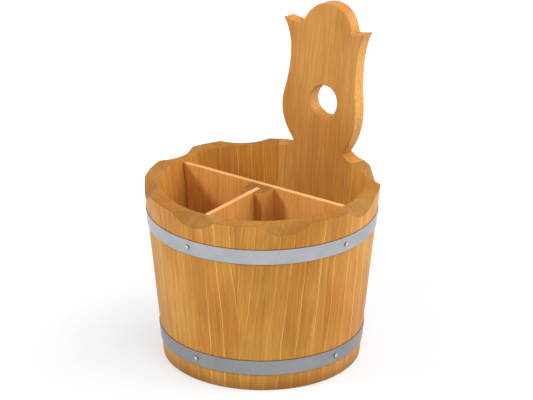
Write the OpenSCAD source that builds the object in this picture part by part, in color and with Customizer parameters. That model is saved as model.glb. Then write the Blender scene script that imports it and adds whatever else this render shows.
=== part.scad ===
// Round caddy of eight wooden staves held by two steel hoops.
// One stave carries on above the scooped rim as a tulip-shaped handle with a
// round hole. A loose divider of two boards and a post stands on the floor
// board and parts the inside into three. The front is -Y, the handle is at +Y.

/* [Tub] */
// Outside diameter across the staves at the table
base_d = 186.3; // [180:0.1:196]
// Outside diameter across the staves at the plain rim
rim_d = 220; // [214:1:236]
// Height of the plain rim above the table
rim_h = 171; // [160:1:190]
// Thickness of the staves, measured level
wall = 15; // [13:0.5:18]
// Bevel round the outer foot of the staves
foot_bevel = 1; // [0.5:0.1:3]
// Bevel round the inner foot, below the floor groove
chime = 3; // [1:0.5:5]

/* [Staves] */
// Half the angle that the front stave takes up
front_half = 23; // [20:0.5:25]
// Angle of each stave beside the front one
side_span = 48; // [45:0.5:50]
// Angle of each stave behind those
rear_span = 46; // [43:0.5:48]
// Angle of each narrow stave beside the handle
flank_span = 36.5; // [34:0.5:38]

/* [Scooped rim] */
// Radius of the hollow in the rim of each plain stave
scoop_r = 50; // [42:1:60]
// Depth of the hollow at the rim's outer corner, square to its slope
scoop_depth = 8.5; // [5:0.5:9]
// Slope of the hollow, down and outwards
scoop_slope = 45; // [38:1:52]

/* [Handle] */
// Half width of the handle at its hips
hip_half = 42.1; // [40:0.1:44]
// Height of the hips above the rim
hip_up = 41.5; // [38:0.5:44]
// Radius of the hips
hip_r = 60; // [56:1:66]
// Half width of the handle at its waist
waist_half = 37.5; // [35:0.1:38]
// Height of the waist above the rim
waist_up = 88; // [84:0.2:94]
// Radius of the flare from the waist to the petal tips
flare_r = 84; // [74:1:100]
// Height of the petal tips above the rim
petal_up = 123.2; // [120:0.2:128]
// Drop of each petal's top from its tip to the dome
petal_drop = 4.2; // [2:0.2:6]
// Radius of the dome between the petals
dome_r = 28; // [25:0.5:29]
// Height of the dome's top above the rim
dome_up = 143.2; // [140:0.2:150]
// Diameter of the hole
hole_d = 30.4; // [24:0.2:34]
// Height of the hole's centre above the rim
hole_up = 47.4; // [44:0.2:52]
// Rise of the shoulders from the rim to the handle's neck
shoulder_rise = 2.7; // [1:0.1:5]
// Half width across the shoulders
shoulder_half = 40; // [36:0.5:40]

/* [Floor] */
// Height of the floor board's underside above the table
floor_lift = 10; // [8:0.5:12]
// Thickness of the floor board
floor_t = 10; // [8:0.5:12]
// Depth of the groove in the staves that holds the floor board
groove_depth = 4; // [3:0.5:5]
// Play of the floor board in its groove
floor_play = 0.15; // [0.05:0.05:0.3]

/* [Hoops] */
// Width of the hoop bands
hoop_w = 14.6; // [12:0.1:16]
// Thickness of the hoop bands
hoop_t = 0.9; // [0.6:0.1:1.2]
// Height of the lower hoop's edge above the table
lower_hoop_h = 17; // [15:0.5:22]
// Height of the upper hoop's edge above the table
upper_hoop_h = 132.7; // [120:0.1:136]
// Length that each band overlaps itself
lap_length = 26; // [22:1:34]
// Place of the lap round the tub, from the front
lap_angle = 207; // [200:1:215]
// Distance between the two rivets of a lap
rivet_pitch = 13; // [10:0.5:15]

/* [Nails and rivets] */
// Place of the first nail round the tub, from the front
first_nail = -3; // [-8:0.5:8]
// Place of the second nail
second_nail = 81; // [76:0.5:86]
// Diameter of a nail's or rivet's domed head
head_d = 4.6; // [3.5:0.1:5.5]
// Height of a domed head
head_h = 1.4; // [0.8:0.1:1.8]
// Diameter of a shank
shank_d = 1.8; // [1.4:0.1:2.2]
// Length of a nail below its head
nail_length = 10; // [8:0.5:11]
// Play round a shank
shank_play = 0.03; // [0.01:0.01:0.06]

/* [Divider] */
// Drop from the rim to the divider's top
divider_drop = 5; // [3:0.5:15]
// Thickness of the divider boards
board_t = 5; // [4:0.5:7]
// Place of the back board's rear face behind the middle of the tub
back_board_y = 7.4; // [0:0.1:15]
// Width of the post
post_w = 24; // [18:0.5:32]
// Depth of the post
post_d = 19.5; // [16:0.5:26]
// Depth of the post's groove for the front board
let_in = 11; // [6:0.5:13]
// Play of the front board in that groove
let_in_play = 0.1; // [0.05:0.05:0.2]
// Play between the divider and the staves
divider_play = 0.4; // [0.3:0.05:1]

/* [Hidden] */

$fn = 96;
eps = 0.01;
wood = "#C8812F";
divider_wood = "#D39A5A";
steel = "#9AA0A6";
nail_steel = "#B9BCC0";

// The tub is a cone: its outer radius grows evenly with height.
base_r = base_d / 2;
rim_r = rim_d / 2;
taper = (rim_r - base_r) / rim_h;
lean = atan(taper);
function outer_r(h) = base_r + taper * h;
function inner_r(h) = outer_r(h) - wall;

// Stave joints, as angles from the front.
joint_1 = front_half;
joint_2 = joint_1 + side_span;
joint_3 = joint_2 + rear_span;
joint_4 = joint_3 + flank_span;
handle_span = 360 - 2 * joint_4;

// The other two nails stand across the tub from the first two.
nail_angles = [first_nail, second_nail, first_nail + 180, second_nail + 180];

// Heights along the leaning handle stave, from the table.
rim_v = rim_h / cos(lean);
hip_v = rim_v + hip_up;
waist_v = rim_v + waist_up;
petal_v = rim_v + petal_up;
dome_v = rim_v + dome_up - dome_r;
hole_v = rim_v + hole_up;
neck_v = rim_v + shoulder_rise;
handle_top_h = rim_h + dome_up + wall;

// The waist's lower curve runs into the hip's arc with no corner to be felt.
// It bites a hair into that arc, so that the two cross at a clear point.
hip_x = hip_half - hip_r;
rise = waist_v - hip_v;
run = waist_half - hip_x;
waist_r = (run * run + rise * rise - hip_r * hip_r) / (2 * (hip_r - run));
blend_v = hip_v + rise * hip_r / (hip_r + waist_r);
blend_bite = 0.02;

// The sides are sawn down to the neck and leave a small ledge on the shoulders.
ledge = 1;
neck_half = hip_x + sqrt(pow(hip_r, 2) - pow(hip_v - neck_v, 2)) + ledge;

// The petals' tops start where they meet the dome's side.
petal_foot_v = petal_v - petal_drop;
petal_foot_x = sqrt(pow(dome_r, 2) - pow(petal_foot_v - dome_v, 2));
flare_rise = petal_v - waist_v;
tip_half = waist_half + flare_r - sqrt(pow(flare_r, 2) - pow(flare_rise, 2));

// Each petal's top is drawn a little too long at both ends. The flare cuts
// the outer end to a tip, and the inner end is lost in the dome.
spare_w = 2;
spare_drop = spare_w * petal_drop / (tip_half - petal_foot_x);

floor_top = floor_lift + floor_t;
groove_r = inner_r(floor_lift + floor_t / 2) + groove_depth;
divider_top = rim_h - divider_drop;
back_board_front = back_board_y - board_t;
post_front = back_board_front - post_d;
groove_end = post_front + let_in;

// The handle leans out at the back, so the tub stands forward of the origin.
handle_reach = base_r + (rim_v + dome_up) * sin(lean);
tub_y = (rim_r - handle_reach) / 2;

module at_tub() {
    translate([0, tub_y, 0]) children();
}

// Places a child on the outer face, its +Z square to the face and outwards.
module on_face(angle, h, out = 0) {
    rotate([0, 0, angle])
        translate([0, -outer_r(h), h])
            rotate([90 + lean, 0, 0])
                translate([0, 0, out]) children();
}

// A piece of the tub's wall from one joint to the next, up to a height.
module wall_piece(from, span, top) {
    rotate([0, 0, from - 90])
        rotate_extrude(angle = span)
            polygon([
                [inner_r(0) + chime, 0],
                [base_r - foot_bevel, 0],
                [outer_r(foot_bevel), foot_bevel],
                [outer_r(top), top],
                [inner_r(top), top],
                [inner_r(chime), chime]
            ]);
}

// The groove that runs round the inside for the floor board.
module floor_groove() {
    translate([0, 0, floor_lift])
        cylinder(r = groove_r, h = floor_t + floor_play);
}

// A hollow that slopes down and outwards through the rim.
module scoop(angle) {
    rotate([0, 0, angle])
        translate([0, -rim_r, rim_h])
            rotate([90 + scoop_slope, 0, 0])
                translate([0, scoop_r - scoop_depth, -rim_r / 2])
                    cylinder(r = scoop_r, h = rim_r);
}

module shank_holes(h) {
    for (a = nail_angles)
        on_face(a, h, -nail_length - shank_play)
            cylinder(d = shank_d + 2 * shank_play, h = nail_length + 2 * hoop_t);
}

module all_shank_holes() {
    shank_holes(lower_hoop_h + hoop_w / 2);
    shank_holes(upper_hoop_h + hoop_w / 2);
}

module plain_stave(from, span) {
    color(wood) at_tub() difference() {
        wall_piece(from, span, rim_h);
        floor_groove();
        scoop(from + span / 2);
        all_shank_holes();
    }
}

module front_stave() {
    plain_stave(-front_half, 2 * front_half);
}

module right_front_stave() {
    plain_stave(joint_1, side_span);
}

module left_front_stave() {
    plain_stave(-joint_2, side_span);
}

module right_back_stave() {
    plain_stave(joint_2, rear_span);
}

module left_back_stave() {
    plain_stave(-joint_3, rear_span);
}

module right_flank_stave() {
    plain_stave(joint_3, flank_span);
}

module left_flank_stave() {
    plain_stave(-joint_4, flank_span);
}

// What is cut away on one side of the handle, seen square to the board.
module side_cut() {
    far = hip_half + waist_r;
    cut_r = waist_r + blend_bite;
    intersection() {
        translate([waist_half + flare_r, waist_v]) circle(r = flare_r, $fn = 180);
        translate([0, waist_v]) square([far, flare_r]);
    }
    intersection() {
        translate([waist_half + cut_r, waist_v]) circle(r = cut_r, $fn = 360);
        translate([0, hip_v]) square([far, waist_v - hip_v]);
    }
    difference() {
        translate([0, neck_v]) square([far, blend_v - neck_v]);
        translate([hip_x, hip_v]) circle(r = hip_r, $fn = 180);
    }
}

// The handle's outline, square to the board, from below the rim to the dome.
module handle_outline() {
    foot_v = rim_v - 3 * shoulder_rise;
    difference() {
        union() {
            polygon([
                [-shoulder_half, foot_v],
                [shoulder_half, foot_v],
                [shoulder_half, rim_v - shoulder_rise],
                [neck_half, neck_v],
                [tip_half + spare_w, neck_v],
                [tip_half + spare_w, petal_v + spare_drop],
                [petal_foot_x - spare_w, petal_foot_v - spare_drop],
                [spare_w - petal_foot_x, petal_foot_v - spare_drop],
                [-tip_half - spare_w, petal_v + spare_drop],
                [-tip_half - spare_w, neck_v],
                [-neck_half, neck_v],
                [-shoulder_half, rim_v - shoulder_rise]
            ]);
            translate([0, dome_v]) circle(r = dome_r);
        }
        side_cut();
        mirror([1, 0]) side_cut();
    }
}

// Places a flat child on the handle stave's outer face line, +Z inwards.
module on_handle() {
    translate([0, base_r, 0]) rotate([90 - lean, 0, 0]) children();
}

module handle_stave() {
    color(wood) at_tub() difference() {
        intersection() {
            wall_piece(joint_3, handle_span + 2 * flank_span, handle_top_h);
            union() {
                rotate([0, 0, joint_4 - 90])
                    rotate_extrude(angle = handle_span) square([rim_d, rim_h]);
                on_handle() translate([0, 0, -wall])
                    linear_extrude(4 * wall) handle_outline();
            }
        }
        floor_groove();
        all_shank_holes();
        on_handle() translate([0, hole_v, -wall]) cylinder(d = hole_d, h = 4 * wall);
    }
}

module floor_board() {
    color(wood) at_tub() translate([0, 0, floor_lift])
        cylinder(r = groove_r - floor_play, h = floor_t);
}

// One turn of the band, and the end that laps over its start.
module hoop(h) {
    top = h + hoop_w;
    lap_span = lap_length / outer_r(h) * 180 / PI;
    color(steel) at_tub() difference() {
        union() {
            rotate_extrude()
                polygon([
                    [outer_r(h), h],
                    [outer_r(h) + hoop_t, h],
                    [outer_r(top) + hoop_t, top],
                    [outer_r(top), top]
                ]);
            rotate([0, 0, lap_angle - lap_span / 2 - 90])
                rotate_extrude(angle = lap_span)
                    polygon([
                        [outer_r(h) + hoop_t / 2, h],
                        [outer_r(h) + 2 * hoop_t, h],
                        [outer_r(top) + 2 * hoop_t, top],
                        [outer_r(top) + hoop_t / 2, top]
                    ]);
        }
        shank_holes(h + hoop_w / 2);
        for (a = rivet_angles(h))
            on_face(a, h + hoop_w / 2, -hoop_t)
                cylinder(d = shank_d + 2 * shank_play, h = 4 * hoop_t);
    }
}

function rivet_angles(h) =
    [for (side = [-1, 1]) lap_angle + side * rivet_pitch / 2 / outer_r(h) * 180 / PI];

module lower_hoop() {
    hoop(lower_hoop_h);
}

module upper_hoop() {
    hoop(upper_hoop_h);
}

// A round shank below a head that is a cap of a sphere.
module headed_pin(length) {
    cap_r = (pow(head_d / 2, 2) + pow(head_h, 2)) / (2 * head_h);
    translate([0, 0, -length]) cylinder(d = shank_d, h = length + eps);
    intersection() {
        translate([0, 0, head_h - cap_r]) sphere(r = cap_r);
        cylinder(d = 2 * head_d, h = head_h);
    }
}

module hoop_nails(h) {
    color(nail_steel) at_tub()
        for (a = nail_angles)
            on_face(a, h + hoop_w / 2, hoop_t) headed_pin(nail_length);
}

module lower_hoop_nails() {
    hoop_nails(lower_hoop_h);
}

module upper_hoop_nails() {
    hoop_nails(upper_hoop_h);
}

module lap_rivets(h) {
    color(nail_steel) at_tub()
        for (a = rivet_angles(h))
            on_face(a, h + hoop_w / 2, 2 * hoop_t) headed_pin(2 * hoop_t);
}

module lower_lap_rivets() {
    lap_rivets(lower_hoop_h);
}

module upper_lap_rivets() {
    lap_rivets(upper_hoop_h);
}

// Half the back board's length at a height, where its rear edge meets the wall.
function back_half(h) =
    sqrt(pow(inner_r(h) - divider_play, 2) - pow(back_board_y, 2));

module back_board() {
    color(divider_wood) at_tub() translate([0, back_board_y, 0]) rotate([90, 0, 0])
        linear_extrude(board_t) polygon([
            [-back_half(floor_top), floor_top],
            [back_half(floor_top), floor_top],
            [back_half(divider_top), divider_top],
            [-back_half(divider_top), divider_top]
        ]);
}

module post() {
    groove_w = board_t + 2 * let_in_play;
    color(divider_wood) at_tub() difference() {
        translate([-post_w / 2, post_front, floor_top])
            cube([post_w, post_d, divider_top - floor_top]);
        translate([-groove_w / 2, post_front - eps, floor_top - eps])
            cube([groove_w, let_in + eps, divider_top - floor_top + 2 * eps]);
    }
}

module front_board() {
    reach_low = inner_r(floor_top) - divider_play;
    reach_high = inner_r(divider_top) - divider_play;
    color(divider_wood) at_tub() translate([-board_t / 2, 0, 0]) rotate([90, 0, 90])
        linear_extrude(board_t) polygon([
            [groove_end, floor_top],
            [groove_end, divider_top],
            [-reach_high, divider_top],
            [-reach_low, floor_top]
        ]);
}

front_stave();
right_front_stave();
left_front_stave();
right_back_stave();
left_back_stave();
right_flank_stave();
left_flank_stave();
handle_stave();
floor_board();
lower_hoop();
upper_hoop();
lower_hoop_nails();
upper_hoop_nails();
lower_lap_rivets();
upper_lap_rivets();
back_board();
post();
front_board();
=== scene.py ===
# %% [markdown]
# # A stave caddy, dressed for its picture
#
# The real object is a small coopered tub. Eight tapered wooden staves stand in
# a ring round a floor board, and two steel hoops hold them. One stave carries
# on upwards as a pierced handle. A loose divider parts the inside into three.
#
# The CAD model gives every piece its place. This script keeps those places and
# adds what a CAD solid leaves out: eased edges, wood figure and rolled steel.

# %% Load the frame
import math

import bmesh
import bpy
import numpy as np
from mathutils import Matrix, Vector, geometry


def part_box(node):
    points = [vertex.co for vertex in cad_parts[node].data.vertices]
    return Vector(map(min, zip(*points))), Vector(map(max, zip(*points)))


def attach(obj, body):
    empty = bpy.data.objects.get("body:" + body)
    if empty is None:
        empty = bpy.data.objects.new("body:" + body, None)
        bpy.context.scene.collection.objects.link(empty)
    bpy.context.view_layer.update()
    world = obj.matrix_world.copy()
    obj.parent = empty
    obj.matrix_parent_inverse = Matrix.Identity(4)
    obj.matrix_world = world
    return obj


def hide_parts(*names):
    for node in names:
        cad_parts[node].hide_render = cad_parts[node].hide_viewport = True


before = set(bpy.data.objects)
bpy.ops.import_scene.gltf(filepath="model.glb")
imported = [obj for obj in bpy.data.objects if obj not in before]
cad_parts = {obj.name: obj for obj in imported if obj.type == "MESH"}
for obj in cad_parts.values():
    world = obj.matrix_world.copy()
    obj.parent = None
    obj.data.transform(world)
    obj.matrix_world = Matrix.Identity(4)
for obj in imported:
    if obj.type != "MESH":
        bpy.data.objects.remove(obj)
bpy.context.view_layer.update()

# %% [markdown]
# ## Measures of the tub
#
# The staves of a tub are cut from a cone, so nearly every shape here follows
# from the radius at a height. The same few measures as in the CAD source are
# written once, in millimetres, and the tub's axis is read from the floor board.

# %% Measures of the tub
MM = 0.001
BASE_R, RIM_R, RIM_H, WALL = 93.15, 110.0, 171.0, 15.0
FOOT_BEVEL, CHIME = 1.0, 3.0
FLOOR_LIFT, FLOOR_T, FLOOR_PLAY, GROOVE = 10.0, 10.0, 0.15, 4.0
TAPER = (RIM_R - BASE_R) / RIM_H
LEAN = math.atan(TAPER)

floor_low, floor_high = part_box("floor_board")
TUB_Y = (floor_low.y + floor_high.y) / 2 / MM


def outer_r(z):
    """Outer radius of the wall at a height."""
    return BASE_R + TAPER * z


def inner_r(z):
    """Inner radius of the wall at a height."""
    return outer_r(z) - WALL


def in_row(points):
    """Points round the tub's axis in millimetres, as points of the row in metres."""
    return (np.asarray(points, float) + (0, TUB_Y, 0)) * MM


print(f"the tub's axis stands at y = {TUB_Y:.3f} mm, its wall leans {math.degrees(LEAN):.2f} degrees")

# %% [markdown]
# ## The camera
#
# A picture is matched in two steps. First the camera's place is found from the
# ellipses of the two hoops and the foot, which give the height and the side it
# looks from. Then the lens gives the size. A long lens from far away keeps the
# tub's two sides nearly parallel, as in a catalogue picture.

# %% The camera
AZIMUTH, ELEVATION, ROLL = math.radians(35.8), math.radians(23.525), math.radians(0.194)
AWAY, AIM_H, LENS, SENSOR = 2.5875, 0.1035, 186.2, 36.0
VIEW_AXIS = Vector((-0.53897, 0.75003, -0.38337))

camera = bpy.data.objects.new("camera", bpy.data.cameras.new("camera"))
bpy.context.scene.collection.objects.link(camera)
bpy.context.scene.camera = camera
towards_camera = Vector((
    math.sin(AZIMUTH) * math.cos(ELEVATION),
    -math.cos(AZIMUTH) * math.cos(ELEVATION),
    math.sin(ELEVATION),
))
camera.location = Vector((0, TUB_Y * MM, AIM_H)) + AWAY * towards_camera
camera.rotation_euler = VIEW_AXIS.to_track_quat("-Z", "Y").to_euler()
camera.rotation_euler.rotate_axis("Z", ROLL)
camera.data.sensor_width = SENSOR
camera.data.lens = LENS
print("the camera stands at", [round(c, 3) for c in camera.location])

# %% [markdown]
# ## Helpers for shader nodes
#
# A material is a tree of small nodes. Written out one link at a time it is hard
# to read, so a few helpers make a node and fill its sockets in one line. They
# take a plain value or another node's output, and sums read almost as sums.

# %% Helpers for shader nodes
def plug(tree, socket, value):
    """Links a socket to another node's output, or sets its value."""
    if isinstance(value, bpy.types.NodeSocket):
        tree.links.new(value, socket)
    else:
        socket.default_value = value


def node(tree, kind, **values):
    """A new node. Its inputs are given by number, as in_0, and its settings by name."""
    made = tree.nodes.new(kind)
    for key, value in values.items():
        if not key.startswith("in_"):
            setattr(made, key, value)
    for key, value in values.items():
        if key.startswith("in_"):
            plug(tree, made.inputs[int(key[len("in_"):])], value)
    return made


def math_node(tree, operation, *inputs, clamp=False):
    """The result of one Math node."""
    made = node(tree, "ShaderNodeMath", operation=operation, use_clamp=clamp)
    for socket, value in zip(made.inputs, inputs):
        plug(tree, socket, value)
    return made.outputs[0]


def plus(tree, first, second):
    return math_node(tree, "ADD", first, second)


def minus(tree, first, second):
    return math_node(tree, "SUBTRACT", first, second)


def times(tree, first, second):
    return math_node(tree, "MULTIPLY", first, second)


def scaled(tree, value, factor, start):
    """A value times a factor, added to a start."""
    return math_node(tree, "MULTIPLY_ADD", value, factor, start)


def mix(tree, amount, first, second, blend="MIX"):
    """The second colour laid over the first by an amount."""
    made = node(tree, "ShaderNodeMix", data_type="RGBA", blend_type=blend,
                in_0=amount, in_6=first, in_7=second)
    return made.outputs[2]


def empty_material(name):
    """A new material without nodes, and its tree."""
    material = bpy.data.materials.new(name)
    material.use_nodes = True
    material.node_tree.nodes.clear()
    return material, material.node_tree


print("helpers: plug, node, math_node, plus, minus, times, scaled, mix and empty_material")

# %% [markdown]
# ## A table top that shades off to white
#
# The picture stands on plain white. A pale floor gives that if the camera sees
# it a little brighter than it is, and the object's shadow stays on it. The
# extra light grows with the distance from the tub. The camera's rays and the
# rays that steel mirrors see it. Light that bounces from the table does not, so
# the wood gets no more light from below than any pale table would give it.

# %% Table top and background
TABLE_W, FLOOR_PALE, FLOOR_GLOW = 16.0, 0.5, 0.4
GLOW_FROM, GLOW_TO = 0.3, 1.6
SPECK_SCALE, SPECK = 300.0, 1.02


def grey(value):
    return (value, value, value, 1)


def seen_directly(tree):
    """1 for rays from the camera, from a mirror or through glass, and 0 for bounced light."""
    ray = node(tree, "ShaderNodeLightPath").outputs
    mirrored = math_node(tree, "MAXIMUM", ray["Is Glossy Ray"], ray["Is Transmission Ray"])
    return math_node(tree, "MAXIMUM", ray["Is Camera Ray"], mirrored)


floor_material, tree = empty_material("white_table")
specks = node(tree, "ShaderNodeTexNoise", in_2=SPECK_SCALE).outputs["Fac"]
speckled = mix(tree, specks, grey(FLOOR_PALE), grey(FLOOR_PALE * SPECK))
pale = node(tree, "ShaderNodeBsdfDiffuse", in_0=speckled).outputs[0]
where = node(tree, "ShaderNodeNewGeometry").outputs["Position"]
distance = node(tree, "ShaderNodeVectorMath", operation="LENGTH", in_0=where).outputs["Value"]
brighter = node(tree, "ShaderNodeMapRange",
                in_0=distance, in_1=GLOW_FROM, in_2=GLOW_TO, in_3=FLOOR_GLOW, in_4=1.0).outputs[0]
glow = node(tree, "ShaderNodeEmission", in_1=brighter).outputs[0]
seen = node(tree, "ShaderNodeAddShader", in_0=pale, in_1=glow).outputs[0]
unseen = node(tree, "ShaderNodeBsdfDiffuse", in_0=grey(FLOOR_PALE)).outputs[0]
choice = node(tree, "ShaderNodeMixShader", in_0=seen_directly(tree), in_1=unseen, in_2=seen).outputs[0]
node(tree, "ShaderNodeOutputMaterial", in_0=choice)

bpy.ops.mesh.primitive_plane_add(size=TABLE_W)
table = bpy.context.object
table.name = "table_top"
table.data.materials.append(floor_material)
print(f"the table top is {TABLE_W} m wide and turns white {GLOW_TO} m from the tub")

# %% [markdown]
# ## Studio light
#
# Three lamps light the tub. A small one stands at the front left and high up,
# and draws the edges of the scoops and the handle. A very large one high at the
# right fills that side, and a large one behind it catches the rim and the
# divider's top edges. The white room round the object opens the shadows.

# %% Lamps and room
LAMPS_AIM = Vector((0, 0, 0.12))
# name: place, power in watts, size
LAMPS = {
    "key": ((-1.4, -2.0, 1.75), 44, 0.5),
    "side": ((1.9, 0.0, 2.0), 54, 3.2),
    "back": ((1.2, 1.8, 1.5), 32, 2.0),
}
ROOM_LIGHT = 0.6

for name, (place, power, size) in LAMPS.items():
    lamp = bpy.data.objects.new(name, bpy.data.lights.new(name, "AREA"))
    bpy.context.scene.collection.objects.link(lamp)
    lamp.location = place
    lamp.rotation_euler = (LAMPS_AIM - lamp.location).to_track_quat("-Z", "Y").to_euler()
    lamp.data.energy, lamp.data.size = power, size
    print(f"{name} lamp: {power} W, {size} m wide, {(LAMPS_AIM - lamp.location).length:.2f} m away")

room = bpy.data.worlds.new("white_room")
bpy.context.scene.world = room
room.use_nodes = True
background = room.node_tree.nodes["Background"]
background.inputs["Color"].default_value = grey(1)
room_strength = scaled(room.node_tree, seen_directly(room.node_tree), 1 - ROOM_LIGHT, ROOM_LIGHT)
plug(room.node_tree, background.inputs["Strength"], room_strength)
bpy.context.scene.view_settings.view_transform = "Standard"

# %% [markdown]
# ## Shader groups for wood
#
# Wood is a solid figure, not a picture on a surface. Growth rings are nested
# tubes round the pith, and a board shows whatever its cut makes of them: long
# arches on a flat face, fine lines on a steep one and arcs on its ends. So the
# rings are worked out in three dimensions, from the board's own length,
# width and depth, and every cut face gets its right figure by itself.
#
# A node group holds such an effect once, and each material places it with its
# own values. First come the helpers that all the groups use.

# %% Helpers for groups
VALUE, VECTOR = "NodeSocketFloat", "NodeSocketVector"


def group(name, inputs, outputs):
    """A new node group, what it is given, and the sockets for what it gives back, both by name."""
    tree = bpy.data.node_groups.new(name, "ShaderNodeTree")
    for label, kind, value in inputs:
        socket = tree.interface.new_socket(label, in_out="INPUT", socket_type=kind)
        if value is not None:
            socket.default_value = value
    for label, kind in outputs:
        tree.interface.new_socket(label, in_out="OUTPUT", socket_type=kind)
    return tree, tree.nodes.new("NodeGroupInput").outputs, tree.nodes.new("NodeGroupOutput").inputs


def use_group(tree, which_group, **values):
    """The results of a group placed in a tree, its inputs by name, an underscore for a space."""
    made = tree.nodes.new("ShaderNodeGroup")
    made.node_tree = which_group
    for key, value in values.items():
        plug(tree, made.inputs[key.replace("_", " ")], value)
    return made.outputs


def smooth(tree, value, low, high):
    """0 up to low, 1 from high and a smooth step between. It falls where low is the larger."""
    made = node(tree, "ShaderNodeMapRange", interpolation_type="SMOOTHSTEP",
                in_0=value, in_1=low, in_2=high)
    return made.outputs[0]


def stretched(tree, vector, squeeze, scale, detail, seed, roughness=0.5):
    """Noise drawn out along a board by squeezing its length."""
    squeezed = node(tree, "ShaderNodeVectorMath", operation="MULTIPLY", in_0=vector, in_1=(1, 1, squeeze))
    made = node(tree, "ShaderNodeTexNoise", noise_dimensions="4D", in_0=squeezed.outputs[0],
                in_1=seed, in_2=scale, in_3=detail, in_4=roughness)
    return made.outputs


def hypotenuse(tree, first, second):
    """How far off a point is that lies so far away in two square directions."""
    return math_node(tree, "SQRT", plus(tree, times(tree, first, first), times(tree, second, second)))


print("helpers for groups: group, use_group, smooth, stretched and hypotenuse")

# %% [markdown]
# A tree doesn't grow as a perfect tube. Noise sways the rings, drift makes them
# lean along the board, which turns their lines into arches, and the rings are
# of uneven width. Each ring has a tone, and the pale line at its end is strong
# in one ring and faint in the next.

# %% Group: growth rings
SWAY_SQUEEZE, SWAY_SCALE, SWAY_DETAIL = 0.6, 22.0, 3.0
UNEVEN_SCALE, UNEVEN_DETAIL, UNEVEN_BY = 0.45, 1.0, 1.8
LINE_RISES, LINE_FALLS, BAND_RISES = (0.8, 0.94), (1.0, 0.96), (0.0, 0.7)
STRONG_RINGS, FAINTEST_RING = (0.4, 0.9), 0.1
CLEAR_STRETCHES, FAINTEST_STRETCH = (0.38, 0.58), 0.3

rings, given, result = group(
    "growth_rings",
    [
        ("Place", VECTOR, None),
        ("Pith across", VALUE, 0.0),
        ("Pith behind", VALUE, 0.06),
        ("Drift", VALUE, 0.0),
        ("Ring width", VALUE, 0.005),
        ("Wander", VALUE, 0.004),
        ("Seed", VALUE, 0.0),
    ],
    [("Line", VALUE), ("Band", VALUE), ("Tone", VALUE)],
)
at = node(rings, "ShaderNodeSeparateXYZ", in_0=given["Place"]).outputs
noise = stretched(rings, given["Place"], SWAY_SQUEEZE, SWAY_SCALE, SWAY_DETAIL, given["Seed"])
sway = node(rings, "ShaderNodeSeparateColor", in_0=noise["Color"]).outputs


def swayed(channel):
    """One channel of the noise, as a distance to either side."""
    return times(rings, minus(rings, sway[channel], 0.5), given["Wander"])


across = plus(rings, minus(rings, at["X"], given["Pith across"]), swayed("Red"))
leaning = plus(rings, minus(rings, at["Y"], given["Pith behind"]), times(rings, at["Z"], given["Drift"]))
behind = plus(rings, leaning, swayed("Green"))
count = math_node(rings, "DIVIDE", hypotenuse(rings, across, behind), given["Ring width"])
uneven = node(rings, "ShaderNodeTexNoise", noise_dimensions="1D",
              in_1=plus(rings, count, given["Seed"]), in_2=UNEVEN_SCALE, in_3=UNEVEN_DETAIL)
count = scaled(rings, uneven.outputs["Fac"], UNEVEN_BY, count)
within = math_node(rings, "FRACT", count)
ring_number = plus(rings, math_node(rings, "FLOOR", count), given["Seed"])
tone = node(rings, "ShaderNodeTexWhiteNoise", noise_dimensions="1D", in_1=ring_number).outputs["Value"]
line = times(rings, smooth(rings, within, *LINE_RISES), smooth(rings, within, *LINE_FALLS))
strength = scaled(rings, smooth(rings, tone, *STRONG_RINGS), 1 - FAINTEST_RING, FAINTEST_RING)
clear = scaled(rings, smooth(rings, sway["Blue"], *CLEAR_STRETCHES), 1 - FAINTEST_STRETCH, FAINTEST_STRETCH)
plug(rings, result["Line"], times(rings, line, times(rings, strength, clear)))
plug(rings, result["Band"], smooth(rings, within, *BAND_RISES))
plug(rings, result["Tone"], tone)
print("growth_rings has", len(rings.nodes), "nodes")

# %% [markdown]
# Under the rings lie the fibres. They are thousands of times longer than wide,
# which noise gives when it is squeezed along the board. Fine fibres make the
# silky streaks, and broad ones the slow change from pale to dark across a
# board. On a cut end the same noise shows as dots, as pores do.

# %% Group: fibres
FIBRE_SQUEEZE, FINE_DETAIL, FINE_ROUGH = 0.025, 3.0, 0.65
BROAD_SCALE, BROAD_DETAIL = 120.0, 2.0
CLOUD_SQUEEZE, CLOUD_SCALE, CLOUD_DETAIL = 0.5, 22.0, 3.0
CONTRAST = (0.3, 0.7)

fibres, given, result = group(
    "fibres",
    [("Place", VECTOR, None), ("Fineness", VALUE, 900.0), ("Seed", VALUE, 0.0)],
    [("Fine", VALUE), ("Broad", VALUE), ("Cloud", VALUE)],
)
place, seed = given["Place"], given["Seed"]
kinds = {
    "Fine": stretched(fibres, place, FIBRE_SQUEEZE, given["Fineness"], FINE_DETAIL, seed, FINE_ROUGH),
    "Broad": stretched(fibres, place, FIBRE_SQUEEZE, BROAD_SCALE, BROAD_DETAIL, seed),
    "Cloud": stretched(fibres, place, CLOUD_SQUEEZE, CLOUD_SCALE, CLOUD_DETAIL, seed),
}
for label, noise in kinds.items():
    plug(fibres, result[label], smooth(fibres, noise["Fac"], *CONTRAST))
print("fibres gives", ", ".join(kinds))

# %% [markdown]
# End grain takes oil in its own way. Where a blade tore it open it drinks and
# turns dark, and where it was sanded it stays pale. A surface is end grain
# where it faces along the board, so the mask is the product of its normal and
# the board's direction. The group also marks slanting faces apart, and the wood
# recipe darkens them, partly for the fibres that a gouge tears there and partly
# as painted shade on the rim's scoops. The tint is each material's own.

# %% Group: end grain
END_RISES = (0.35, 0.95)
SLANT_RISES, SLANT_FALLS = (0.3, 0.6), (0.95, 0.8)

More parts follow.
